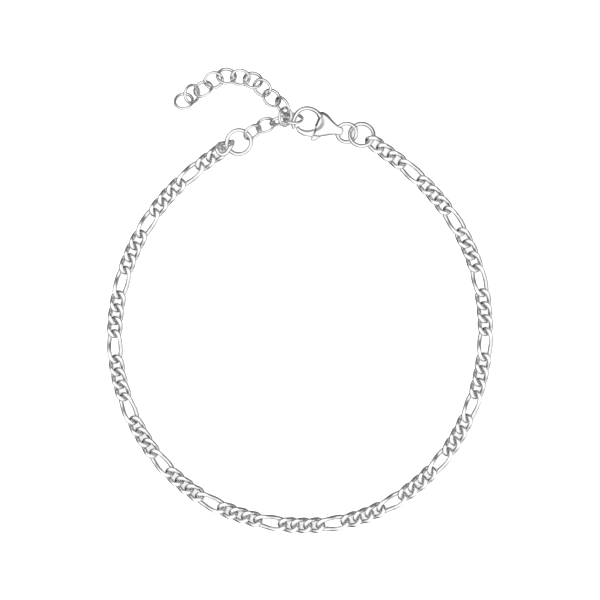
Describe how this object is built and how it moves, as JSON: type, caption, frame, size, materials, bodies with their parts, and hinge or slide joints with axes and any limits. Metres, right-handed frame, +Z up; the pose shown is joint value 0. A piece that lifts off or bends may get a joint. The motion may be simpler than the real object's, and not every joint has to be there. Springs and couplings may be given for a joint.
{
  "type": "figaro chain bracelet",
  "caption": "Silver figaro chain bracelet with a lobster clasp and a short extension chain of round links, closed and lying flat.",
  "frame": {"origin": "middle of the bracelet's outline, on the surface that it lies on", "axes": "+Z up from that surface, +Y from the middle of the wrist opening towards the clasp and the extension chain"},
  "size_m": [0.0571, 0.0688, 0.0027],
  "materials": {
    "chain_silver": "polished silver with diamond-cut flats",
    "wire_silver": "polished round silver wire",
    "cast_silver": "cast silver, tumbled and polished"
  },
  "bodies": {
    "bracelet": {"figaro_chain": "chain_silver", "jump_ring_chain": "wire_silver", "jump_ring_clasp": "wire_silver", "clasp_body": "cast_silver", "clasp_pin": "wire_silver", "jump_ring_extender": "wire_silver", "extender_run": "wire_silver", "extender_clasped_link": "wire_silver", "extender_tail": "wire_silver"},
    "lever": {"clasp_lever": "cast_silver"}
  },
  "joints": [
    {"name": "lever_hinge", "type": "hinge", "parent": "bracelet", "child": "lever", "pos_m": [0.00251, 0.02476, 0.00105], "axis": [0, 0, -1], "range_deg": [0, 17], "stiffness_Nm_per_rad": 0.001}
  ]
}
